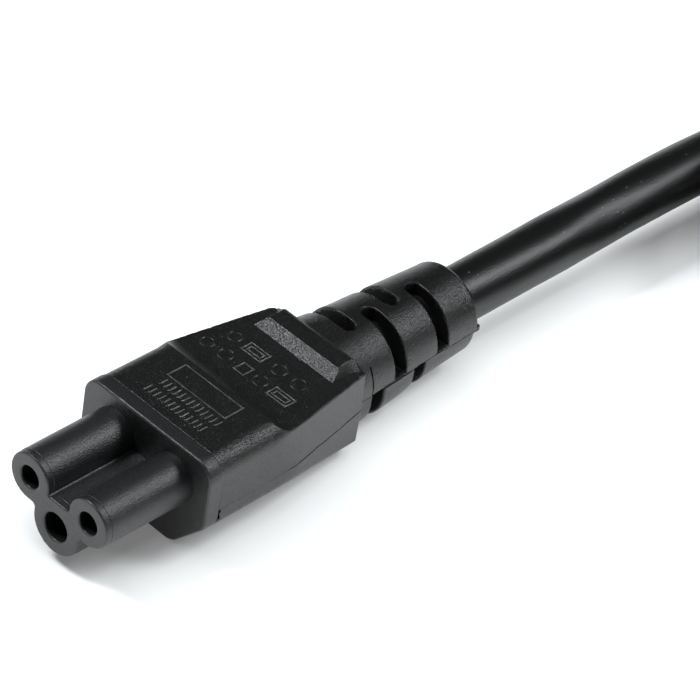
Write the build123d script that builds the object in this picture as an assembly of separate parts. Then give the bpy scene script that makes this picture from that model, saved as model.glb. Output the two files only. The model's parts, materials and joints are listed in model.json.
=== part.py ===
from build123d import *
import math
import os

# Power cord with a cloverleaf connector. Millimetres, +Z up, +X along the cord.
# Lengths along X are first given from the nose's front face, then shifted so
# that the origin is under the middle of the connector.

# ---- connector ----
conn_len = 65.4          # nose face to the end of the strain relief
conn_h = 14.7            # height of the body
mid_z = conn_h / 2       # mould parting plane
ln_pitch = 10.0          # line to neutral spacing
ln_z = 9.65              # height of the line and neutral holes
earth_drop = 4.2         # earth hole below them
lobe_r = 3.28
earth_lobe_r = 3.82
web_drop = 0.5           # floor of the groove between the lobes, below the holes' axis
hole_r = 1.5
earth_hole_r = 1.925
hole_len = 5.0           # plain mouth of each hole
chamber_r = 2.0
earth_chamber_r = 2.45
nose_len = 13.6
flange_t = 2.0
insert_len = 27.0        # nose, flange and the part inside the overmould
flange_hw = 10.86        # half width
bevel_z = 5.45           # where the lower bevels start on the sides
bottom_hw = 5.9          # half width of the flat underside
body_end = 42.1
body_bend = 28.3         # where the sides start to close in
body_hw_bend = 10.68
body_hw_end = 8.2
edge_r = 2.4             # rounding along the upper sides
step_x = 25.3            # where the top steps down to the rear panel
panel_x = 28.2
panel_z0 = 13.3          # panel height at panel_x and at the rear
panel_z1 = 12.95
block_z = 14.2           # raised block in front of the strain relief
relief_z = 7.12          # centre height of the strain relief
relief_sections = [      # x, half width, half height, corner radius
    (41.0, 7.24, 6.65, 5.00),
    (46.0, 6.93, 6.32, 5.35),
    (58.0, 6.20, 5.98, 5.50),
    (65.6, 5.85, 5.93, 5.70),
]
slot_w = 2.15
slot_x = [46.45, 50.5, 54.35, 58.45]   # middles of the four slot stations
slot_over = 1.0          # how far a slot passes the middle
end_r = 1.2              # rounding of the strain relief's end
sleeve_r = 4.1           # what the slots leave around the cable

# ---- cord ----
cord_d = 7.5
cord_z = 7.5             # axis where it leaves the connector
jacket_x = 40.0          # end of the jacket inside the connector
lead_points = [(40.0, 0.0, 7.5), (76.0, 0.0, 7.5), (116.0, 0.0, 7.85), (140.0, 0.0, 4.8)]
hank_near = 128.0        # centre of the near end loop
hank_run = 68.0          # between the two loops' centres
hank_r_out = 30.0        # outer turn
hank_r_in = 22.5         # inner turn
hank_low_z = 4.8         # axis of the two lower strands under the tie
tie_t = 1.0
tie_w = 11.0

# ---- plug ----
plug_y = -3.75
plug_z = hank_low_z + cord_d * math.sqrt(3) / 2
tail_x = 219.0           # end of the plug's strain relief
tail_len = 25.0
plug_len = 32.0
blade_len = 17.0
blade_w = 6.35
blade_t = 1.5
blade_pitch = 12.7
blade_up = 4.5           # blades above the plug's axis
earth_pin_r = 2.4
earth_down = 7.4         # earth pin below it
earth_pin_len = 19.5
plug_hw = 13.0

# ---- cores ----
core_r = 1.15
wire_r = 0.6
barrel_r = 1.6

X0 = -conn_len / 2
os.makedirs("parts", exist_ok=True)


def yz(x):
    """Section plane at x from the nose: local x is Y, local y is Z."""
    return Plane(origin=(x + X0, 0, 0), x_dir=(0, 1, 0), z_dir=(1, 0, 0))


def rod(x0, x1, y, z, r):
    return extrude(yz(x0) * (Pos(y, z) * Circle(r)), x1 - x0)


def slab(x0, x1, y0, y1, z0, z1):
    return Pos((x0 + x1) / 2 + X0, (y0 + y1) / 2, (z0 + z1) / 2) * Box(x1 - x0, y1 - y0, z1 - z0)


def along(points, radii, r):
    """Round tube along straight runs joined by tangent arcs."""
    path = FilletPolyline(*[(x + X0, y, z) for x, y, z in points], radius=radii)
    start = path % 0
    profile = Plane(origin=path @ 0, z_dir=start) * Circle(r)
    return sweep(profile, path=path), path


def arc_radii(points):
    """0.45 of the shorter run, divided by the tangent of half the turn."""
    out = []
    for a, b, c in zip(points, points[1:], points[2:]):
        u, v = Vector(*b) - Vector(*a), Vector(*c) - Vector(*b)
        out.append(0.45 * min(u.length, v.length) / math.tan(math.radians(u.get_angle(v)) / 2))
    return out


nodes = {}
half = ln_pitch / 2
earth_z = ln_z - earth_drop

# ---- insert: nose, flange and the block that the overmould grips, one moulding ----
nose = (
    Pos(half, ln_z) * Circle(lobe_r)
    + Pos(-half, ln_z) * Circle(lobe_r)
    + Pos(0, ln_z - (lobe_r + web_drop) / 2) * Rectangle(ln_pitch, lobe_r - web_drop)
    + Pos(0, earth_z) * Circle(earth_lobe_r)
    + Pos(0, (earth_z + ln_z - 1) / 2) * Rectangle(2 * earth_lobe_r, ln_z - 1 - earth_z)
)
inner = [v for v in nose.vertices() if abs(abs(v.X) - earth_lobe_r) < 0.3 and abs(v.Y - (ln_z - lobe_r)) < 0.3]
nose = fillet(inner, 0.45)
nose_solid = extrude(yz(0) * nose, insert_len)
front = nose_solid.faces().sort_by(Axis.X)[0]
nose_solid = chamfer(front.edges(), 0.18)
flange_pts = [
    (flange_hw, conn_h), (-flange_hw, conn_h), (-flange_hw, bevel_z),
    (-bottom_hw, 0), (bottom_hw, 0), (flange_hw, bevel_z),
]
plate = make_face(Polyline(*flange_pts, close=True))
plate = fillet([v for v in plate.vertices() if v.Y > 10], 2.6)
plate = fillet([v for v in plate.vertices() if v.Y < 6], 2.5)
flange = extrude(yz(nose_len) * plate, flange_t)
insert = nose_solid + flange
for y, z, r, c in ((half, ln_z, hole_r, chamber_r), (-half, ln_z, hole_r, chamber_r), (0, earth_z, earth_hole_r, earth_chamber_r)):
    insert -= rod(-1, hole_len, y, z, r)
    insert -= rod(hole_len, insert_len + 1, y, z, c)
nodes["connector_insert"] = insert

# ---- contacts, conductors and cores in the connector ----
inner_tools = [extrude(yz(nose_len + flange_t) * nose, insert_len - nose_len - flange_t)]
ends = {"line": (half, ln_z, 1.5, 8.25), "neutral": (-half, ln_z, -1.5, 8.25), "earth": (0, earth_z, 0, 5.55)}
for name, (y, z, y2, z2) in ends.items():
    c = earth_chamber_r if name == "earth" else chamber_r
    inside = 1.6 if name == "earth" else 1.2
    contact = rod(hole_len, 15.5, y, z, c) - rod(hole_len - 1, 14.5, y, z, inside)
    contact -= slab(hole_len - 1, 13.0, y - 0.25, y + 0.25, z, z + 4)
    contact += rod(15.5, 30.0, y, z, barrel_r)
    contact -= rod(23.0, 31.0, y, z, wire_r)
    nodes[name + "_contact"] = contact
    pts = [(23.0, y, z), (31.6, y, z), (37.6, y2, z2), (jacket_x, y2, z2)]
    rad = [3.0, 2.0] if name != "earth" else [30.0, 8.0]
    wire, _ = along(pts, rad, wire_r)
    nodes[name + "_conductor"] = wire
    pts2 = [(30.0, y, z)] + pts[1:]
    core, _ = along(pts2, rad, core_r)
    nodes[name + "_core"] = core - wire
    inner_tools += [rod(insert_len, 30.0, y, z, barrel_r), core]

# ---- overmould: body and strain relief, one moulding ----

def body_section(x, hw):
    """Section of the body: drafted sides, rounded above, bevelled below."""
    corner = (hw - 0.1 - bottom_hw) * bevel_z / (flange_hw - bottom_hw)
    side = [(hw - 0.32, conn_h), (hw, mid_z), (hw - 0.1, corner), (bottom_hw, 0)]
    other = [(-y, z) for y, z in reversed(side)]
    face = make_face(Polyline(*reversed(side + other), close=True))
    face = fillet([v for v in face.vertices() if v.Y > 10], edge_r)
    return yz(x) * face


body = loft([body_section(x, hw) for x, hw in (
    (nose_len + flange_t, flange_hw), (body_bend, body_hw_bend), (body_end, body_hw_end))], ruled=True)
slope = (panel_z1 - panel_z0) / (body_end - panel_x)
ramp = make_face([
    ThreePointArc((step_x, conn_h), (step_x + 1.25, conn_h - 1.01), (panel_x, panel_z0)),
    Polyline((panel_x, panel_z0), (body_end + 2, panel_z0 + slope * (body_end + 2 - panel_x)), (body_end + 2, 20), (step_x, 20), (step_x, conn_h)),
])
body -= Pos(X0, 30, 0) * extrude(Plane.XZ * ramp, 60)
low_face = Pos(0, 0, 12.6) * make_face(Polyline((37.0 + X0, 6.4), (body_end + X0, 6.4), (body_end + X0, -7.05), (37.0 + X0, -7.05), close=True))
top_face = Pos(0, 0, block_z) * make_face(Polyline((39.1 + X0, 5.85), (body_end + X0, 5.85), (body_end + X0, -6.15), (39.1 + X0, -6.15), close=True))
body += loft([low_face, top_face], ruled=True)
relief = loft([yz(x) * (Pos(0, relief_z) * RectangleRounded(2 * a, 2 * b, c)) for x, a, b, c in relief_sections], ruled=True)
rim = relief_sections[-1][1] + 0.1
prof = make_face([
    Polyline((conn_len - end_r + X0, rim), (30 + X0, 15), (30 + X0, 0), (conn_len + X0, 0), (conn_len + X0, rim - end_r)),
    ThreePointArc((conn_len + X0, rim - end_r), (conn_len - 0.293 * end_r + X0, rim - 0.293 * end_r), (conn_len - end_r + X0, rim)),
])
cap = Pos(0, 0, relief_z) * revolve(Plane.XZ * prof, axis=Axis.X)
body += relief & cap
for i, x in enumerate(slot_x):
    for s, up in ((1, i % 2 == 0), (-1, i % 2 == 1)):
        # upper slots alternate left and right, the lower ones are opposite
        yend = -s * slot_over
        flat = Pos(x + X0, (yend + s * slot_w / 2 + s * 12) / 2, 0) * Rectangle(slot_w, abs(12 - slot_over * -1 - slot_w / 2))
        shape = flat + Pos(x + X0, yend + s * slot_w / 2, 0) * Circle(slot_w / 2)
        if up:
            cut = extrude(Pos(0, 0, mid_z + 0.15) * shape, 12, dir=(0, 0, 1))
        else:
            cut = extrude(Pos(0, 0, mid_z - 0.15) * shape, 12, dir=(0, 0, -1))
        body -= cut - rod(40, 70, 0, cord_z, sleeve_r)
body -= rod(jacket_x, conn_len + 1, 0, cord_z, cord_d / 2)
for t in inner_tools:
    body -= t
nodes["connector_overmould"] = body

# ---- cord: the lead out of the connector, the tied hank and the tail to the plug ----
radii = arc_radii(lead_points)
lead, path = along(lead_points, radii, cord_d / 2)
section = math.pi * (cord_d / 2) ** 2
print("lead radii", [round(r, 1) for r in radii], "length", round(path.length, 2))
print("lead volume", round(lead.volume, 1), "section x length", round(section * path.length, 1))
nodes["cord_lead"] = lead

hank_far = hank_near + hank_run
ro, ri = hank_r_out + cord_d / 2, hank_r_in - cord_d / 2
yc = -hank_r_out


def stadium(r):
    return (
        Pos(hank_near + X0, yc) * Circle(r) + Pos(hank_far + X0, yc) * Circle(r)
        + Pos((hank_near + hank_far) / 2 + X0, yc) * Rectangle(hank_run, 2 * r)
    )


ring = extrude(stadium(ro) - stadium(ri), cord_d)
ring -= slab(80, 300, -cord_d * 1.5 - 0.3, 20, -1, 30) & slab(140, hank_far, -20, 20, -1, 30)
ring -= slab(80, 140, -cord_d / 2 - 0.25, 20, -1, 30)
hump = extrude((stadium(ro) - stadium(ri)) & (Pos(hank_near - 30 + X0, yc) * Rectangle(72, 90)), 15.5)
hump -= slab(80, 160, -100, -40, -1, 30)
hump -= slab(80, 140, -cord_d / 2 - 0.25, 20, -1, 30)
strands = [(0, hank_low_z), (-cord_d, hank_low_z), (plug_y, plug_z)]
tri = make_face(Polyline(*strands, close=True))
bundle = offset(tri, cord_d / 2, kind=Kind.ARC)
run = extrude(yz(140) * bundle, hank_far - 140)
hank = ring + hump + run
hank -= lead
hank -= rod(tail_x - 0.5, tail_x + 20, plug_y, plug_z, 6.8)
nodes["cord_hank"] = hank
band = offset(tri, cord_d / 2 + tie_t, kind=Kind.ARC) - bundle
nodes["hank_tie"] = extrude(yz(162) * band, tie_w)
nodes["cord_tail"] = rod(hank_far, tail_x + tail_len + 2, plug_y, plug_z, cord_d / 2)

# ---- plug: two flat blades and a round earth pin in a moulded body ----
body_x = tail_x + tail_len
face_x = body_x + plug_len


def plug_section(x, hw, hh, r, dz=0.0):
    return yz(x) * (Pos(plug_y, plug_z + dz) * RectangleRounded(2 * hw, 2 * hh, r))


plug = loft([
    plug_section(body_x, 7.2, 6.9, 4.5),
    plug_section(body_x + 9, 10.6, 9.6, 5.0),
    plug_section(body_x + 18, 12.4, 10.9, 5.0),
], ruled=False)
plug += loft([plug_section(body_x + 18, 12.4, 10.9, 5.0), plug_section(face_x, plug_hw, plug_z, 5.0)], ruled=True)
tail = loft([
    yz(tail_x) * (Pos(plug_y, plug_z) * Circle(5.0)),
    yz(body_x) * (Pos(plug_y, plug_z) * Circle(6.6)),
], ruled=True)
plug += tail
for i in range(4):
    x = tail_x + 4.5 + 5.0 * i
    s = 1 if i % 2 == 0 else -1
    for side in (s, -s):
        up = side == s
        cut = slab(x - 1.0, x + 1.0, plug_y + min(-side * 0.8, side * 12), plug_y + max(-side * 0.8, side * 12),
                   plug_z + 0.2 if up else plug_z - 12, plug_z + 12 if up else plug_z - 0.2)
        plug -= cut - rod(tail_x - 1, body_x + 1, plug_y, plug_z, 4.4)
plug -= rod(tail_x - 1, tail_x + tail_len + 2, plug_y, plug_z, cord_d / 2)

bridge_x0, bridge_x1 = face_x - 9.0, face_x
bridge = extrude(yz(bridge_x0) * (Pos(plug_y, plug_z - 1.0) * RectangleRounded(18.4, 19.0, 2.5)), bridge_x1 - bridge_x0)
plug -= bridge
blades = {"line_blade": blade_pitch / 2, "neutral_blade": -blade_pitch / 2}
pieces = {}
for name, dy in blades.items():
    y, z = plug_y + dy, plug_z + blade_up
    blade = slab(face_x - 12.0, face_x + blade_len, y - blade_t / 2, y + blade_t / 2, z - blade_w / 2, z + blade_w / 2)
    tips = [e for e in blade.edges() if e.center().X > face_x + blade_len + X0 - 0.01 and abs(e.center().Z - z) < 0.1]
    blade = chamfer(tips, 0.5)
    blade += rod(face_x - 17.0, face_x - 12.0, y, z, 1.7)
    blade -= rod(face_x - 17.5, face_x - 13.0, y, z, wire_r)
    blade -= extrude(Plane.XZ.offset(-y - 5) * (Pos(face_x + blade_len - 4.4 + X0, z) * Circle(1.6)), 10)
    pieces[name] = blade
pin = rod(face_x - 12.0, face_x + earth_pin_len, plug_y, plug_z - earth_down, earth_pin_r)
pin = fillet(pin.edges().sort_by(Axis.X)[-1], 1.6)
pin += rod(face_x - 17.0, face_x - 12.0, plug_y, plug_z - earth_down, 1.7)
pin -= rod(face_x - 17.5, face_x - 13.0, plug_y, plug_z - earth_down, wire_r)
pieces["earth_pin"] = pin
for name, p in pieces.items():
    bridge -= p
    plug -= p
    nodes["plug_" + name] = p
nodes["plug_bridge"] = bridge
plug_ends = {
    "line": (plug_y + blade_pitch / 2, plug_z + blade_up, plug_y + 1.5, plug_z + 0.9),
    "neutral": (plug_y - blade_pitch / 2, plug_z + blade_up, plug_y - 1.5, plug_z + 0.9),
    "earth": (plug_y, plug_z - earth_down, plug_y, plug_z - 1.8),
}
for name, (y, z, y2, z2) in plug_ends.items():
    pts = [(body_x + 2.0, y2, z2), (body_x + 4.0, y2, z2), (face_x - 19.0, y, z), (face_x - 13.0, y, z)]
    wire, _ = along(pts, [2.0, 2.0], wire_r)
    pts2 = pts[:3] + [(face_x - 17.0, y, z)]
    core, _ = along(pts2, [2.0, 1.6], core_r)
    nodes["plug_" + name + "_conductor"] = wire
    nodes["plug_" + name + "_core"] = core - wire
    plug -= core
    plug -= wire
nodes["plug_overmould"] = plug

for name, shape in nodes.items():
    shape.label = name
    export_step(shape, f"parts/{name}.step")
    print(name, len(shape.solids()), round(shape.volume, 1))
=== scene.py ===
import json
import math

import bpy
import bmesh
import numpy as np
from mathutils import Matrix, Vector


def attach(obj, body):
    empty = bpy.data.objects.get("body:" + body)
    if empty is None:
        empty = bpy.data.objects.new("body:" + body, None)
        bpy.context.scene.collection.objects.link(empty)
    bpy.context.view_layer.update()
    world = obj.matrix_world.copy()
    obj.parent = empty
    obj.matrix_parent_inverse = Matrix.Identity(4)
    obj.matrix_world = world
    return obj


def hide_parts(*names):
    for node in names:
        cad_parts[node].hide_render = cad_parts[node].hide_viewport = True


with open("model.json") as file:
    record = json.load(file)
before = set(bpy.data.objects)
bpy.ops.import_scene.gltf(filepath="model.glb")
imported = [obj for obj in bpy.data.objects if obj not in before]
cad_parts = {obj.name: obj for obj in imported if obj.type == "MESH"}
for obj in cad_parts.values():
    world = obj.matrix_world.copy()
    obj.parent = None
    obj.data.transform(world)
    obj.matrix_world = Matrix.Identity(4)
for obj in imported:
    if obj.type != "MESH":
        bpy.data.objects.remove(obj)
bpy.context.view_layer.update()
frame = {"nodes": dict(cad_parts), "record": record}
nodes = frame["nodes"]
scene = bpy.context.scene
scene.view_settings.view_transform = "Standard"
scene.view_settings.look = "None"

MM = 0.001
X0 = -32.7               # the nose's front face; x below counts from it, in millimetres
MID = 7.35               # height of the mould's parting plane
CORD_Z = 7.5
CORD_R = 3.75


# ------------------------------------------------------------------ materials
def material(name, color, rough, metal=0.0, spec=0.5, coat=0.0):
    m = bpy.data.materials.new(name)
    m.use_nodes = True
    b = m.node_tree.nodes["Principled BSDF"]
    b.inputs["Base Color"].default_value = (*color, 1)
    b.inputs["Roughness"].default_value = rough
    b.inputs["Metallic"].default_value = metal
    b.inputs["Specular IOR Level"].default_value = spec
    b.inputs["Coat Weight"].default_value = coat
    return m


def grain(m, layers):
    """Bump from layers of noise: (scale, detail, strength, depth in metres), and (low, high) to keep only its peaks."""
    t = m.node_tree
    n, l = t.nodes, t.links
    b = n["Principled BSDF"]
    coord = n.new("ShaderNodeTexCoord")
    last = None
    for scale, detail, strength, depth, *peaks in layers:
        tex = n.new("ShaderNodeTexNoise")
        tex.inputs["Scale"].default_value = scale
        tex.inputs["Detail"].default_value = detail
        l.new(coord.outputs["Object"], tex.inputs["Vector"])
        height = tex.outputs["Fac"]
        if peaks:
            clip = n.new("ShaderNodeMapRange")
            clip.inputs["From Min"].default_value, clip.inputs["From Max"].default_value = peaks
            l.new(height, clip.inputs["Value"])
            height = clip.outputs["Result"]
        bump = n.new("ShaderNodeBump")
        bump.inputs["Strength"].default_value = strength
        bump.inputs["Distance"].default_value = depth
        l.new(height, bump.inputs["Height"])
        if last:
            l.new(last.outputs["Normal"], bump.inputs["Normal"])
        last = bump
    l.new(last.outputs["Normal"], b.inputs["Normal"])
    return m


def specks(m, color, scale, share, size):
    """A few light specks of dust, in clusters: small dots in a share of the cells."""
    t = m.node_tree
    n, l = t.nodes, t.links
    b = n["Principled BSDF"]
    coord = n.new("ShaderNodeTexCoord")
    cells = n.new("ShaderNodeTexVoronoi")
    cells.inputs["Scale"].default_value = scale
    l.new(coord.outputs["Object"], cells.inputs["Vector"])
    near = n.new("ShaderNodeMath")
    near.operation = "LESS_THAN"
    l.new(cells.outputs["Distance"], near.inputs[0])
    near.inputs[1].default_value = size
    parts = n.new("ShaderNodeSeparateColor")
    l.new(cells.outputs["Color"], parts.inputs["Color"])
    some = n.new("ShaderNodeMath")
    some.operation = "LESS_THAN"
    l.new(parts.outputs["Red"], some.inputs[0])
    some.inputs[1].default_value = share
    dusty = n.new("ShaderNodeTexNoise")
    dusty.inputs["Scale"].default_value = scale / 8
    dusty.inputs["Detail"].default_value = 1
    l.new(coord.outputs["Object"], dusty.inputs["Vector"])
    here = n.new("ShaderNodeMath")
    here.operation = "GREATER_THAN"
    l.new(dusty.outputs["Fac"], here.inputs[0])
    here.inputs[1].default_value = 0.53
    dot = n.new("ShaderNodeMath")
    dot.operation = "MULTIPLY"
    l.new(near.outputs[0], dot.inputs[0])
    both_of = n.new("ShaderNodeMath")
    both_of.operation = "MULTIPLY"
    l.new(some.outputs[0], both_of.inputs[0])
    l.new(here.outputs[0], both_of.inputs[1])
    l.new(both_of.outputs[0], dot.inputs[1])
    mix = n.new("ShaderNodeMix")
    mix.data_type = "RGBA"
    l.new(dot.outputs[0], mix.inputs["Factor"])
    mix.inputs[6].default_value = b.inputs["Base Color"].default_value[:]
    mix.inputs[7].default_value = (*color, 1)
    l.new(mix.outputs[2], b.inputs["Base Color"])
    return m


pvc = grain(material("cord_pvc", (0.003, 0.003, 0.0029), 0.34, spec=0.62), [(6000, 2, 1.0, 0.000075), (4800, 1, 1.0, 0.00009, 0.62, 0.82)])
# painted shade: a darker, duller copy of the cord PVC, put on faces deep in the relief's slots and in the nose's holes,
# where shade falls
painted_shade_pvc = grain(material("cord_pvc_painted_shade", (0.0015, 0.0015, 0.0015), 0.6, spec=0.2), [(3000, 2, 0.5, 0.0001)])
edges = grain(material("mark_pvc", (0.003, 0.003, 0.003), 0.34, spec=0.75), [(4600, 2, 0.6, 0.00005)])
hard = grain(material("insert_plastic", (0.0055, 0.0057, 0.006), 0.40, spec=0.65), [(6200, 2, 1.0, 0.000064)])
jacket = grain(material("jacket_pvc", (0.0028, 0.0028, 0.0028), 0.37, spec=0.46), [(300, 2, 0.4, 0.0001), (4600, 2, 0.6, 0.00006)])
specks(jacket, (0.20, 0.20, 0.19), 1300, 0.6, 0.085)
strap = grain(material("tie_plastic", (0.016, 0.016, 0.017), 0.7), [(2500, 3, 0.6, 0.0001)])
brass = grain(material("contact_brass", (0.62, 0.45, 0.2), 0.35, 1.0), [(3000, 2, 0.1, 0.00002)])
steel = grain(material("blade_metal", (0.62, 0.61, 0.58), 0.28, 1.0), [(3000, 2, 0.1, 0.00002)])
copper = grain(material("copper_wire", (0.55, 0.27, 0.14), 0.35, 1.0), [(3000, 2, 0.2, 0.00002)])
brown = grain(material("core_brown", (0.10, 0.045, 0.02), 0.5), [(2500, 2, 0.3, 0.00005)])
blue = grain(material("core_blue", (0.03, 0.12, 0.40), 0.5), [(2500, 2, 0.3, 0.00005)])
green = grain(material("core_green", (0.11, 0.33, 0.05), 0.5), [(2500, 2, 0.3, 0.00005)])
finish_of = {
    "insert_plastic": hard, "cord_pvc": pvc, "jacket_pvc": jacket, "tie_plastic": strap, "contact_brass": brass,
    "blade_metal": steel, "copper_wire": copper, "core_brown": brown, "core_blue": blue, "core_green": green,
}
for sub in frame["record"]["subparts"]:
    o = nodes[sub["node"]]
    o.data.materials.clear()
    o.data.materials.append(finish_of[sub["material_slot"]])


# ------------------------------------------------------------------ shapes as distance fields, millimetres
def both(a, b, r):
    """What lies in both, its square edge rounded with radius r."""
    u, v = a + r, b + r
    return np.minimum(np.maximum(u, v), 0) + np.hypot(np.maximum(u, 0), np.maximum(v, 0)) - r


def blunt(a, b, k):
    """What lies in both, for planes that meet at a flat angle: their edge is drawn in by a quarter of k."""
    h = np.maximum(k - np.abs(a - b), 0) / k
    return np.maximum(a, b) + h * h * k / 4


def either(a, b, r):
    """What lies in one or the other, with a fillet of radius r."""
    return -both(-a, -b, r)


def rounded_rect(y, z, a, b, c):
    qy, qz = np.abs(y) - (a - c), np.abs(z) - (b - c)
    return np.hypot(np.maximum(qy, 0), np.maximum(qz, 0)) + np.minimum(np.maximum(qy, qz), 0) - c


def slot_field(x, v, z, middle, width, over, upper, level):
    """A slot across the relief: round-ended in plan, straight down to the parting plane."""
    plan = np.hypot(x - middle, np.minimum(v + over - width / 2, 0)) - width / 2
    return np.maximum(plan, (level - z) if upper else (z - level))


def parting(x):
    """Height of the parting line, a little uneven."""
    return np.interp(x, [15, 42, 68], [7.35, 7.35, 7.22]) + 0.035 * np.sin(x * 0.8) + 0.025 * np.sin(x * 2.1 + 1)


def panel_height(x):
    t = np.clip((28.2 - x) / 2.9, 0, 1)
    curve = 3.7 - np.sqrt(np.maximum(3.7 ** 2 - (t * 2.9) ** 2, 0))
    h = 13.30 - (np.maximum(x, 28.2) - 28.2) * 0.0255 + curve
    return np.where(x < 25.3, 14.7 + (25.3 - x) * 4, h)


def connector_body(x, y, z):
    ay = np.abs(y)
    draft = np.interp(x, [26, 29, 34, 42], [0.043, 0.072, 0.062, 0.046])
    w = ay + draft * np.maximum(z - MID, 0) + 0.018 * np.maximum(MID - z, 0)
    front_side = w - (10.86 - (x - 15.6) * 0.0142)
    rear_side = (w - (10.70 - (x - 28.3) * 0.1797)) * 0.984
    sides = both(blunt(front_side, rear_side, 0.30), x - 42.3, np.interp(y, [-2, 2], [0.25, 0.9]))
    d = both(sides, z - 14.7, np.interp(x, [24.5, 27.0, 30.5], [2.4, 1.8, 0.34]))
    bevel = 0.7395 * (ay - 10.86) - 0.673 * (z - 5.45)
    d = blunt(d, bevel, np.interp(x, [15, 24, 30, 36, 42], [0.35, 0.45, 0.6, 0.4, 0.12]))
    d = blunt(d, -z, 0.85)
    # the rear panel, stepped down from the front part of the top
    d = both(d, (z - panel_height(x)) * 0.9, 0.12)
    d = both(d, 15.64 - x, np.interp(z, [11.5, 13.8], [0.30, 0.06]))
    return d


def relief(x, y, z):
    zc = z - 7.12
    at = [40, 46, 58, 64, 70]
    a = np.interp(x, at, [7.30, 6.93, 6.20, 5.88, 5.88])
    b = np.interp(x, at, [6.72, 6.32, 5.98, 5.94, 5.94])
    c = np.interp(x, at, [4.80, 5.10, 5.50, 5.72, 5.72])
    low = z < parting(x)
    c = c + np.interp(x, [40, 44, 50, 57], [0.3, 0.55, 0.5, 0.0]) * ~low
    d = rounded_rect(y, zc, a, b, c) - np.interp(x, [44, 48, 51, 54.5], [0, 0.22, 0.2, 0]) * low
    d = both(d, x - 65.25, np.where(low, 1.15, 0.7))
    return np.maximum(d, 41.0 - x)


def overmould(x, y, z):
    zp = parting(x)
    # the upper half of the relief stands a little proud of the lower one
    d = either(connector_body(x, y, z), relief(x, y, z) - 0.09 * (z > zp), 0.3)
    whole = d
    core = 3.95 - np.hypot(y, z - CORD_Z)
    for i, middle in enumerate((46.45, 50.5, 54.35, 58.45)):
        for s in (1, -1):
            up = (s == 1) == (i % 2 == 0)
            over = (1.55, 0.75, 1.05, 1.0)[i] if up else 1.0
            cut = slot_field(x, s * y, z, middle, 2.15, over, up, MID + 0.12 if up else MID - 0.12)
            d = both(d, -np.maximum(cut, core), 0.14)
    # parting line, the slit before the first ring, the nick at the flange and the flash at the end
    lip = both(-y - (5.72 + (x - 60) * 0.04), x - 65.6, 0.3)
    full = np.interp(x, [63.9, 64.6], [0, 0.42])
    thick = np.abs(z - zp - 0.19 + full / 2) - 0.19 - full / 2
    d = np.minimum(d, both(thick, np.maximum(lip, np.maximum(y + 3.9, 60.5 - x)), 0.12))
    wide = np.interp(x, [20, 27, 29.5, 43, 46, 63.9, 64.3], [0.03, 0.035, 0.075, 0.075, 0.095, 0.095, 0.0])
    deep = np.interp(x, [20, 27, 29.5, 43, 46], [0.03, 0.04, 0.22, 0.22, 0.28])
    d = np.maximum(d, np.minimum(wide - np.abs(z - zp + 0.085 * (x > 60.3)), whole + deep))
    slit = np.maximum(np.maximum(np.abs(x - 45.25) - 0.09, zp - z), np.maximum(z - 11.2, y + 5.0))
    d = np.maximum(d, np.minimum(-slit, whole + 0.5))
    nick = np.maximum(np.maximum(np.abs(z - 6.6) - 0.75, x - 16.05 + 0.1 * np.sin(z * 4)), y + 10.3)
    d = np.maximum(d, -nick)
    bore = np.maximum(np.hypot(y, z - CORD_Z) - 3.86, 64.2 - x)
    return both(d, -bore, 0.2)


PLUG_Y, PLUG_Z = -3.75, 4.8 + 7.5 * math.sqrt(3) / 2
TAIL, PBODY, FACE = 219.0, 244.0, 276.0


def plug_body(x, y, z):
    py, pz = y - PLUG_Y, z - PLUG_Z
    t = np.clip((x - PBODY + 1) / 19, 0, 1)
    swell, rest = t * t * (3 - 2 * t), np.clip((x - PBODY) / (FACE - PBODY), 0, 1)
    a = 7.1 + 5.2 * swell + 0.7 * rest
    b = 6.8 + 4.0 * swell + (PLUG_Z - 10.8) * rest
    body = rounded_rect(py, pz, a, b, 4.8) * 0.94
    body = both(body, x - FACE, 0.8)
    body = np.maximum(body, PBODY - 1.0 - x)
    for s in (1, -1):
        grip = np.hypot((x - PBODY - 15) / 1.0, (s * py - 24.4)) - 13.2
        body = both(body, -np.maximum(grip, np.abs(pz) - 7.5), 0.6)
    r = np.interp(x, [TAIL, PBODY], [5.0, 6.6])
    tail = both(np.hypot(py, pz) - r, TAIL - x, 0.8)
    tail = np.maximum(tail, x - PBODY - 3)
    core = 4.4 - np.hypot(py, pz)
    for i in range(4):
        for s in (1, -1):
            up = (s == 1) == (i % 2 == 0)
            cut = slot_field(x, s * py, pz, TAIL + 4.5 + 5 * i, 2.0, 0.8, up, 0.2 if up else -0.2)
            tail = both(tail, -np.maximum(cut, core), 0.16)
    d = either(body, tail, 1.2)
    # the opening for the bridge in the front face
    hole = rounded_rect(py, pz + 1.0, 9.22, 9.52, 2.5)
    return both(d, -np.maximum(hole, FACE - 1.0 - x), 0.12)


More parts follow.
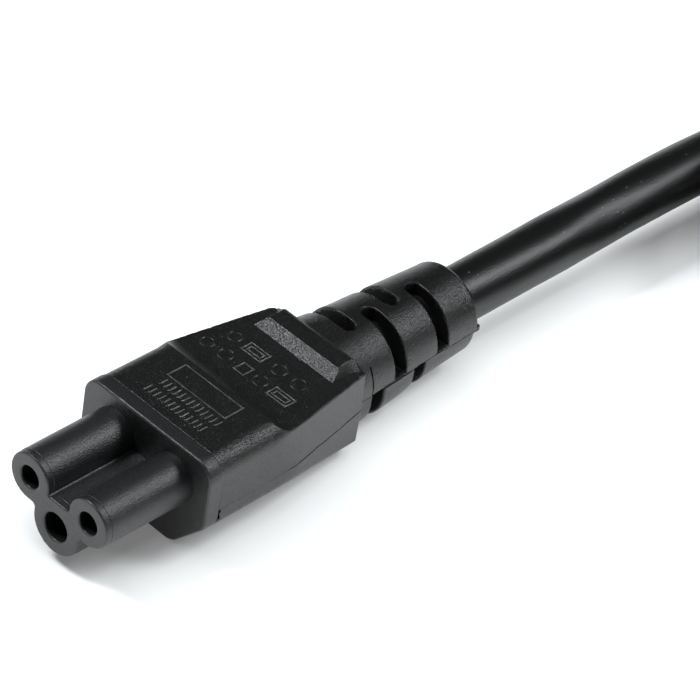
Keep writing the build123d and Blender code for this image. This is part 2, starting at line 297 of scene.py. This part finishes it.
def net(field, low, high, step, fine):
    """Closed quad mesh of a distance field: one point in every cell the surface crosses, moved onto the surface.
    The grid is finer along each axis in the stretches named for it."""
    axes = []
    for k, (a, b) in enumerate(zip(low, high)):
        line = np.arange(a - 2 * step, b + 3 * step, step)
        for lo, hi, small in fine.get(k, ()):
            line = np.concatenate([line[(line < lo - 0.6 * small) | (line > hi + 0.6 * small)], np.arange(lo, hi, small)])
        axes.append(np.sort(line))
    gx, gy, gz = np.meshgrid(*axes, indexing="ij")
    d = field(gx, gy, gz).astype(np.float64)
    inside = d < 0
    shape = tuple(n - 1 for n in d.shape)
    total = np.zeros(shape + (3,))
    count = np.zeros(shape)
    for axis in range(3):
        others = [k for k in range(3) if k != axis]
        for o0 in (0, 1):
            for o1 in (0, 1):
                at = [slice(0, n) for n in shape]
                at[others[0]] = slice(o0, o0 + shape[others[0]])
                at[others[1]] = slice(o1, o1 + shape[others[1]])
                to = list(at)
                to[axis] = slice(1, 1 + shape[axis])
                da, db = d[tuple(at)], d[tuple(to)]
                cross = (da < 0) != (db < 0)
                f = np.where(cross, da / np.where(cross, da - db, 1), 0)
                pos = np.zeros(shape + (3,))
                pos[..., axis] = f
                pos[..., others[0]] = o0
                pos[..., others[1]] = o1
                total += pos * cross[..., None]
                count += cross
    live = count > 0
    ids = np.full(shape, -1)
    ids[live] = np.arange(live.sum())
    cell = np.argwhere(live)
    part = total[live] / count[live][:, None]
    pts = np.stack([axes[k][cell[:, k]] + part[:, k] * np.diff(axes[k])[cell[:, k]] for k in range(3)], 1)
    room = np.stack([np.diff(axes[k])[cell[:, k]] for k in range(3)], 1) * 0.5
    quads = []
    for axis in range(3):
        u, v = (axis + 1) % 3, (axis + 2) % 3
        here = [slice(1, n) for n in shape]
        here[axis] = slice(0, shape[axis])
        up = list(here)
        up[axis] = slice(1, 1 + shape[axis])
        a, b = inside[tuple(here)], inside[tuple(up)]
        base = np.argwhere(a != b)
        flip = a[a != b]
        base[:, u] += 1
        base[:, v] += 1
        ring = []
        for du, dv in ((1, 1), (0, 1), (0, 0), (1, 0)):
            c = base.copy()
            c[:, u] -= du
            c[:, v] -= dv
            ring.append(ids[c[:, 0], c[:, 1], c[:, 2]])
        q = np.stack(ring, 1)
        q[~flip] = q[~flip][:, ::-1]
        quads.append(q)
    quads = np.concatenate(quads)
    for _ in range(3):
        value, g = slope(field, pts)
        move = value[:, None] * g
        pts = pts - np.clip(move, -room, room)
    return pts, quads


def slope(field, p, e=0.02):
    x, y, z = p[:, 0], p[:, 1], p[:, 2]
    g = np.stack([
        field(x + e, y, z) - field(x - e, y, z),
        field(x, y + e, z) - field(x, y - e, z),
        field(x, y, z + e) - field(x, y, z - e),
    ], 1) / (2 * e)
    n = np.maximum((g ** 2).sum(1), 1e-6)
    return field(x, y, z), g / n[:, None]


def field_piece(name, field, low, high, step, keep, mat, fine={}, painted_shade_where=None):
    pts, quads = net(field, low, high, step, fine)
    me = bpy.data.meshes.new(name)
    me.from_pydata([tuple(p) for p in (pts + np.array([X0, 0, 0])) * MM], [], [tuple(int(i) for i in q) for q in quads])
    me.update()
    o = bpy.data.objects.new(name, me)
    scene.collection.objects.link(o)
    if keep < 1:
        o.modifiers.new("fewer", "DECIMATE").ratio = keep
        bpy.context.view_layer.update()
        done = bpy.data.meshes.new_from_object(o.evaluated_get(bpy.context.evaluated_depsgraph_get()))
        o.modifiers.clear()
        o.data = done
    me = o.data
    co = np.empty(len(me.vertices) * 3)
    me.vertices.foreach_get("co", co)
    p = co.reshape(-1, 3) / MM - np.array([X0, 0, 0])
    _, g = slope(field, p)
    g /= np.linalg.norm(g, axis=1)[:, None]
    me.shade_smooth()
    me.normals_split_custom_set_from_vertices([tuple(v) for v in g])
    me.materials.clear()
    me.materials.append(mat)
    # faces where the mask holds get the darker copy: painted shade in the recesses
    if painted_shade_where:
        me.materials.append(painted_shade_pvc)
        mid = np.empty(len(me.polygons) * 3)
        me.polygons.foreach_get("center", mid)
        mid = mid.reshape(-1, 3) / MM - np.array([X0, 0, 0])
        me.polygons.foreach_set("material_index", painted_shade_where(mid[:, 0], mid[:, 1], mid[:, 2]).astype(np.int32))
    return o


# ------------------------------------------------------------------ shapes drawn flat and extruded along X
def arc(cy, cz, r, a0, a1, step=6):
    n = max(2, int(abs(a1 - a0) / step) + 1)
    return [(cy + r * math.cos(math.radians(a)), cz + r * math.sin(math.radians(a))) for a in np.linspace(a0, a1, n)]


def extruded(name, outlines, x0, x1, bevel, mat, segments=3):
    """Outlines in (y, z), the later ones holes, between two stations along X, its rims rounded."""
    cu = bpy.data.curves.new(name, "CURVE")
    cu.dimensions = "2D"
    cu.fill_mode = "BOTH"
    cu.extrude = ((x1 - x0) / 2 - bevel) * MM
    cu.bevel_depth = bevel * MM
    cu.bevel_resolution = segments
    cu.offset = -bevel * MM
    for pts in outlines:
        s = cu.splines.new("POLY")
        s.points.add(len(pts) - 1)
        for p, (y, z) in zip(s.points, pts):
            p.co = (y * MM, z * MM, 0, 1)
        s.use_cyclic_u = True
    o = bpy.data.objects.new(name, cu)
    scene.collection.objects.link(o)
    bpy.context.view_layer.update()
    me = bpy.data.meshes.new_from_object(o.evaluated_get(bpy.context.evaluated_depsgraph_get()))
    bpy.data.objects.remove(o)
    me.transform(Matrix(((0, 0, 1, ((x0 + x1) / 2 + X0) * MM), (1, 0, 0, 0), (0, 1, 0, 0), (0, 0, 0, 1))))
    bm = bmesh.new()
    bm.from_mesh(me)
    bmesh.ops.remove_doubles(bm, verts=bm.verts, dist=1e-7)
    bmesh.ops.recalc_face_normals(bm, faces=bm.faces)
    bm.to_mesh(me)
    bm.free()
    me.name = name
    o = bpy.data.objects.new(name, me)
    scene.collection.objects.link(o)
    me.shade_smooth()
    me.set_sharp_from_angle(angle=math.radians(40))
    o.modifiers.new("flats", "WEIGHTED_NORMAL").keep_sharp = True
    me.materials.clear()
    me.materials.append(mat)
    return o


# ------------------------------------------------------------------ connector
LOBE, EARTH = 3.28, 3.82


def nose_outline(inset):
    """The cloverleaf outline, with small fillets where the lobes meet the groove's floor and the earth lobe."""
    r, re, web, f, g = LOBE - inset, EARTH - inset, 9.15 - inset, 0.3 + inset, 0.45 + inset
    reach = math.sqrt((r + f) ** 2 - (web + f - 9.65) ** 2)
    tilt = math.degrees(math.atan2(web + f - 9.65, -reach)) % 360      # where the left lobe meets the fillet
    low = 9.65 - r
    return (
        arc(-5, 9.65, r, 180 - tilt, 270)
        + arc(-re - g, low - g, g, 90, 0, 15) + arc(0, 5.45, re, 180, 360) + arc(re + g, low - g, g, 180, 90, 15)
        + arc(5, 9.65, r, -90, tilt)
        + arc(5 - reach, web + f, f, tilt - 180, -90, 12) + arc(-5 + reach, web + f, f, 270, 360 - tilt, 12)
    )


def hole_outlines(grow):
    return [arc(5, 9.65, 1.5 + grow, 0, 354), arc(-5, 9.65, 1.5 + grow, 0, 354), arc(0, 5.45, 1.925 + grow, 0, 354)]


nose = extruded("insert_nose", [nose_outline(0)] + hole_outlines(0.1), 0.95, 13.75, 0.07, hard)
tip = extruded("insert_tip", [nose_outline(0.05)] + hole_outlines(0.0), 0, 1.6, 0.24, hard, 4)
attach(tip, "root")
for piece in (nose, tip):
    # hole walls deeper than the rim get the darker copy: painted shade inside the holes
    piece.data.materials.append(painted_shade_pvc)
    for f in piece.data.polygons:
        y, z = f.center.y / MM, f.center.z / MM
        deep = f.center.x / MM - X0 > 0.35 and abs(f.normal.x) < 0.6
        if deep and any(math.hypot(y - cy, z - cz) < r + 0.25 for cy, cz, r in ((5, 9.65, 1.5), (-5, 9.65, 1.5), (0, 5.45, 1.925))):
            f.material_index = 1
plate = (
    arc(8.26, 12.1, 2.6, 0, 90) + arc(-8.26, 12.1, 2.6, 90, 180)
    + arc(-8.36, 6.41, 2.5, 180, 227.7, 8) + arc(-4.795, 2.5, 2.5, 227.7, 270, 8)
    + arc(4.795, 2.5, 2.5, 270, 312.3, 8) + arc(8.36, 6.41, 2.5, 312.3, 360, 8)
)
flange = extruded("insert_flange", [plate], 13.6, 15.86, 0.3, hard)
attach(nose, "root")
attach(flange, "root")
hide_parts("connector_insert")
shell = field_piece(
    "overmould", overmould, (15.4, -11.0, 0.0), (68.0, 11.0, 14.8), 0.22, 0.5, pvc,
    {0: [(15.4, 16.2, 0.08), (25.1, 25.6, 0.08), (41.8, 42.5, 0.08), (45.0, 45.5, 0.06)], 2: [(6.95, 7.75, 0.05), (14.4, 14.75, 0.08)]},
    # mask for painted shade: faces deep inside the relief's slots
    lambda x, y, z: (relief(x, y, z) < -0.3) & (x > 44.0),
)
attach(shell, "root")
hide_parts("connector_overmould")


def solid(name, points, faces, mat):
    me = bpy.data.meshes.new(name)
    me.from_pydata([((x + X0) * MM, y * MM, z * MM) for x, y, z in points], [], faces)
    bm = bmesh.new()
    bm.from_mesh(me)
    bmesh.ops.recalc_face_normals(bm, faces=bm.faces)
    bm.to_mesh(me)
    bm.free()
    o = bpy.data.objects.new(name, me)
    scene.collection.objects.link(o)
    me.shade_smooth()
    me.set_sharp_from_angle(angle=math.radians(27))
    o.modifiers.new("flats", "WEIGHTED_NORMAL").keep_sharp = True
    me.materials.append(mat)
    return o


# raised block in front of the strain relief: slanted front, hollowed sides that flare out to the rear corners
foot_z = lambda x: 13.30 - (x - 28.2) * 0.0255
stations = [
    (39.1, 5.85, 6.20, 6.20, 6.82, 14.2), (40.0, 5.80, 6.02, 6.12, 6.78, 14.2), (40.8, 5.78, 5.95, 6.25, 6.84, 14.2),
    (41.5, 5.82, 6.00, 6.85, 7.00, 14.18), (42.0, 5.92, 6.12, 7.28, 7.20, 13.95), (42.35, 6.05, 6.28, 7.34, 7.40, 13.35),
]
block_pts = [(37.6, 6.72, foot_z(37.6)), (37.6, -6.88, foot_z(37.6)), (37.6, 6.72, 12.2), (37.6, -6.88, 12.2)]
for x, tl, tr, fl, fr, top in stations:
    block_pts += [
        (x, fl, 12.2), (x, fl, foot_z(x)), (x, tl + 0.02, top - 0.06), (x, tl - 0.05, top),
        (x, 0.12 - tr, top), (x, -tr - 0.06, top - 0.14), (x, -fr, foot_z(x)), (x, -fr, 12.2),
    ]
block_faces = [(0, 2, 3, 1), (0, 1, 9, 8, 7, 6), (0, 6, 5), (0, 5, 4, 2), (1, 10, 9), (1, 3, 11, 10), (2, 4, 11, 3)]
for i in range(len(stations) - 1):
    a, b = 4 + 8 * i, 12 + 8 * i
    block_faces += [(a + k, a + (k + 1) % 8, b + (k + 1) % 8, b + k) for k in range(8)]
block_faces.append(tuple(4 + 8 * (len(stations) - 1) + k for k in range(8)))
block = solid("block", block_pts, block_faces, pvc)
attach(block, "root")


def marks(name, lines, height, mat, foot=0.185, crest=0.03, tall=0.11):
    """Thin raised ridges on the top, with slanted sides: each a run of (x, y) points, closed where it ends at its start."""
    bm = bmesh.new()
    for pts in lines:
        pts = [Vector(p) for p in pts]
        closed = (pts[0] - pts[-1]).length < 1e-6
        if closed:
            pts = pts[:-1]
        else:
            run = (pts[-1] - pts[0]).normalized() * foot
            pts = [pts[0] - run] + pts + [pts[-1] + run]
        n = len(pts)
        rows = []
        for i, q in enumerate(pts):
            before = (q - pts[i - 1]).normalized() if closed or i else (pts[1] - q).normalized()
            after = (pts[(i + 1) % n] - q).normalized() if closed or i < n - 1 else before
            side = Vector((-before.y - after.y, before.x + after.x)).normalized()
            side /= max(0.5, side.dot(Vector((-before.y, before.x))))
            tip = not closed and i in (0, n - 1)
            row = []
            for k, up in ((foot, -0.04), (crest, tall), (-crest, tall), (-foot, -0.04)):
                at = q + side * k
                row.append(bm.verts.new(((at.x + X0) * MM, at.y * MM, (float(height(at.x)) + (-0.04 if tip else up)) * MM)))
            rows.append(row)
        for i in range(n if closed else n - 1):
            a, b = rows[i], rows[(i + 1) % n]
            for k in range(4):
                bm.faces.new((a[k], b[k], b[(k + 1) % 4], a[(k + 1) % 4]))
        if not closed:
            bm.faces.new(rows[0])
            bm.faces.new(rows[-1])
    bmesh.ops.recalc_face_normals(bm, faces=bm.faces)
    me = bpy.data.meshes.new(name)
    bm.to_mesh(me)
    bm.free()
    o = bpy.data.objects.new(name, me)
    scene.collection.objects.link(o)
    me.materials.append(mat)
    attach(o, "root")
    return o


def frame_lines(x0, x1, y0, y1):
    return [(x0, y0), (x1, y0), (x1, y1), (x0, y1), (x0, y0)]


def ring_lines(cx, cy, r, n=16):
    return [(cx + r * math.cos(2 * math.pi * i / n), cy + r * math.sin(2 * math.pi * i / n)) for i in range(n + 1)]


front_lines = [frame_lines(21.3, 24.3, -4.9, 4.9)]
for row, x in enumerate((17.2, 19.3)):
    for k in range(13):
        y = 4.6 - 0.39 * row - 0.78 * k
        front_lines.append([(x + 0.1, y), (x + 1.2, y)])
marks("front_marks", front_lines, lambda x: 14.7, edges)
panel_lines = [
    frame_lines(29.8, 31.6, -6.6, -3.4), frame_lines(33.2, 35.0, 1.2, 4.4), frame_lines(29.8, 31.6, 0.6, 2.2),
    ring_lines(30.8, -1.4, 1.0), ring_lines(34.1, -1.3, 1.0), ring_lines(34.1, -4.6, 1.0), ring_lines(30.8, 4.6, 1.0), ring_lines(34.1, 6.4, 0.9), ring_lines(30.6, 7.6, 0.9),
]
panel_lines += [frame_lines(30.3, 31.1, -6.1, -3.9), frame_lines(33.7, 34.5, 1.7, 3.9)]
marks("panel_marks", panel_lines, panel_height, edges)


# ------------------------------------------------------------------ cord
def turn(cx, cy, a0, a1, r0, r1, heights, steps):
    out = []
    for i in range(1, steps):
        t = i / steps
        a = math.radians(a0 + (a1 - a0) * t)
        r = r0 + (r1 - r0) * t
        z = float(np.interp(t, np.linspace(0, 1, len(heights)), heights))
        out.append((cx + r * math.cos(a), cy + r * math.sin(a), z))
    return out


NEAR, FAR, YC = 128.0, 196.0, -30.0
route = [(40.0, 0.0, 7.5), (76.0, 0.0, 7.62), (116.0, 0.0, 8.1), (140.0, 0.0, 4.9), (168, 0, 4.8), (190, 0, 4.7)]
route += turn(FAR, YC, 90, -90, 30.3, 30.3, [4.6, 3.9, 3.75, 3.75, 3.75], 12)
route += [(190, -60, 3.75), (162, -60, 3.75), (134, -60, 3.75)]
route += turn(NEAR, YC, -90, -270, 30.3, 22.7, [3.75, 3.75, 3.75, 3.8, 4.2], 12)
route += [(134, -7.5, 4.6), (150, -7.5, 4.8), (170, -7.5, 4.8), (190, -7.5, 4.7)]
route += turn(FAR, YC, 90, -90, 22.7, 22.7, [4.5, 3.9, 3.75, 3.75, 3.75], 12)
route += [(190, -52.5, 3.75), (164, -52.5, 3.9), (140, -52.5, 5.9)]
route += turn(NEAR, YC, -90, -270, 22.7, 26.5, [7.0, 9.6, 11.2, 12.2, 12.9, 13.1], 14)
route += [(134, -3.75, 12.9), (150, -3.75, 11.5), (172, -3.75, 11.3), (196, -3.75, 11.3), (220, PLUG_Y, PLUG_Z), (246, PLUG_Y, PLUG_Z)]
cu = bpy.data.curves.new("cord_route", "CURVE")
cu.dimensions = "3D"
spline = cu.splines.new("NURBS")
spline.points.add(len(route) - 1)
for p, (x, y, z) in zip(spline.points, route):
    p.co = ((x + X0) * MM, y * MM, z * MM, 1)
spline.order_u = 3
spline.use_endpoint_u = True
spline.resolution_u = 16
bare = bpy.data.objects.new("cord_route", cu)
line = bpy.data.meshes.new_from_object(bare)
path = np.array([v.co for v in line.vertices], float)
path = path[np.concatenate([[True], np.linalg.norm(np.diff(path, axis=0), axis=1) > 1e-6])]
bpy.data.objects.remove(bare)
bpy.data.curves.remove(cu)
bpy.data.meshes.remove(line)

# the jacket is a little oval and lies unevenly over the twisted cores: lobes that grow and shrink along it, in millimetres
rng = np.random.default_rng(4)
lobe_at = [0, 34, 40, 43.3, 46.5, 49.8, 52.8, 57, 62]
lobe_a = [0, 0, 0, 0.057, -0.02, -0.095, -0.09, 0.0, 0.03]
lobe_b = [0, 0, 0, 0.07, 0.04, -0.05, -0.08, -0.06, 0.0]
while lobe_at[-1] < 850:
    lobe_at.append(lobe_at[-1] + rng.uniform(5, 9))
    lobe_a.append(-math.copysign(rng.uniform(0.015, 0.05), lobe_a[-1]))
    lobe_b.append(rng.uniform(-0.04, 0.04))


def eased(u, values):
    i = np.clip(np.searchsorted(lobe_at, u) - 1, 0, len(lobe_at) - 2)
    at, values = np.array(lobe_at), np.array(values)
    t = (u - at[i]) / (at[i + 1] - at[i])
    return values[i] + (values[i + 1] - values[i]) * t * t * (3 - 2 * t)


def tube(name, path, sides, mat):
    u = np.concatenate([[0], np.cumsum(np.linalg.norm(np.diff(path, axis=0), axis=1))]) / MM
    along = np.gradient(path, axis=0)
    along /= np.linalg.norm(along, axis=1)[:, None]
    over = np.zeros_like(path)
    last = np.array([0.0, 0, 1])
    for i, t in enumerate(along):
        last = last - t * last.dot(t)
        last /= np.linalg.norm(last)
        over[i] = last
    aside = np.cross(along, over)
    angle = np.arange(sides) * 2 * math.pi / sides
    r = CORD_R + np.interp(u, [20, 30, 60, 90], [0.0, 0.085, 0.085, 0.0])[:, None]
    full = np.interp(u, [24, 34], [0, 1])[:, None]
    r = r + full * 0.13 * np.cos(2 * angle - 2.72)[None] * np.interp(u, [80, 110], [1, 0.15])[:, None]
    r = r + eased(u, lobe_a)[:, None] * np.cos(4 * angle - 4.084)[None] + eased(u, lobe_b)[:, None] * np.cos(4 * angle - 2.513)[None]
    r = r * MM
    ring = np.cos(angle)[None, :, None] * over[:, None] + np.sin(angle)[None, :, None] * aside[:, None]
    pts = (path[:, None] + r[..., None] * ring).reshape(-1, 3)
    pts[:, 2] = np.maximum(pts[:, 2], 0)
    n = len(path)
    faces = [
        (i * sides + k, i * sides + (k + 1) % sides, (i + 1) * sides + (k + 1) % sides, (i + 1) * sides + k)
        for i in range(n - 1) for k in range(sides)
    ]
    faces += [tuple(range(sides)), tuple((n - 1) * sides + k for k in range(sides))]
    me = bpy.data.meshes.new(name)
    me.from_pydata([tuple(q) for q in pts], [], faces)
    bm = bmesh.new()
    bm.from_mesh(me)
    bmesh.ops.recalc_face_normals(bm, faces=bm.faces)
    bm.to_mesh(me)
    bm.free()
    me.shade_smooth()
    me.set_sharp_from_angle(angle=math.radians(50))
    me.materials.append(mat)
    o = bpy.data.objects.new(name, me)
    scene.collection.objects.link(o)
    return o


cord = tube("cord", path, 40, jacket)
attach(cord, "root")
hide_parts("cord_lead", "cord_hank", "cord_tail")


def rounded_triangle(r):
    t = [(0.0, 4.8), (-7.5, 4.8), (PLUG_Y, PLUG_Z)]
    return arc(*t[0], r, -90, 30) + arc(*t[2], r, 30, 150) + arc(*t[1], r, 150, 270)


tie = extruded("tie", [rounded_triangle(4.75), rounded_triangle(3.8)], 162, 173, 0.25, strap)
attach(tie, "root")
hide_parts("hank_tie")

# ------------------------------------------------------------------ plug
plug = field_piece("plug", plug_body, (218.5, -17.2, -0.2), (276.3, 9.8, 23.0), 0.3, 0.5, pvc)
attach(plug, "root")
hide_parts("plug_overmould")
pin = extruded("earth_pin", [arc(PLUG_Y, PLUG_Z - 7.4, 2.4, 0, 354)], 275, 295.5, 1.4, steel, 6)
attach(pin, "root")
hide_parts("plug_earth_pin")

# ------------------------------------------------------------------ floor, light and camera
bpy.ops.mesh.primitive_plane_add(size=6, location=(0, 0, 0))
floor = bpy.context.object
floor.name = "floor"
white = material("floor", (0.8, 0.8, 0.8), 1.0, spec=0.0)
white.node_tree.nodes["Principled BSDF"].inputs["Emission Color"].default_value = (1, 1, 1, 1)
white.node_tree.nodes["Principled BSDF"].inputs["Emission Strength"].default_value = 0.16
floor.data.materials.append(white)

world = bpy.data.worlds.new("studio")
world.use_nodes = True
world.node_tree.nodes["Background"].inputs["Color"].default_value = (1.0, 1.0, 0.97, 1)
world.node_tree.nodes["Background"].inputs["Strength"].default_value = 0.02
scene.world = world


def softbox(name, toward, distance, long_axis, size, power):
    """A soft rectangular light that faces the object, size[0] along long_axis."""
    z = Vector(toward).normalized()
    x = Vector(long_axis)
    x = (x - z * x.dot(z)).normalized()
    y = z.cross(x)
    light = bpy.data.lights.new(name, "AREA")
    light.shape = "RECTANGLE"
    light.size, light.size_y = size
    light.energy = power
    light.color = (0.95, 0.985, 1.0)
    o = bpy.data.objects.new(name, light)
    o.matrix_world = Matrix.Translation(z * distance) @ Matrix((x, y, z)).transposed().to_4x4()
    scene.collection.objects.link(o)
    return o


softbox("right_rear", (0.53, -0.41, 0.745), 1.2, (0, -0.75, -0.66), (0.45, 0.34), 8.5)
softbox("left_top", (-0.30, 0.50, 0.81), 1.2, (0, 1, 0), (0.34, 0.3), 11.5)
fill = softbox("overhead", (0, 0, 1), 1.3, (1, 0, 0), (1.4, 1.4), 17)
fill.visible_glossy = False

az, el, roll = math.radians(-51.07), math.radians(39.28), math.radians(9.50)
back = Vector((math.sin(az) * math.cos(el), -math.cos(az) * math.cos(el), math.sin(el)))
right = Vector((math.cos(az), math.sin(az), 0))
up = back.cross(right)
c, s = math.cos(roll), math.sin(roll)
right2, up2 = c * right + s * up, -s * right + c * up
R = np.array([right2, -up2, -back])
place = -R.T @ np.array([-33.671, 17.391, 519.483])
camera = bpy.data.objects.new("camera", bpy.data.cameras.new("camera"))
camera.data.sensor_width = 36
camera.data.sensor_fit = "HORIZONTAL"
camera.data.lens = 4500 / 700 * 36
camera.data.clip_start = 0.01
rot = Matrix((right2, up2, back)).transposed().to_4x4()
camera.matrix_world = Matrix.Translation(Vector(((place[0] + X0) * MM, place[1] * MM, (place[2] + 9.65) * MM))) @ rot
scene.collection.objects.link(camera)
scene.camera = camera

bpy.context.view_layer.update()
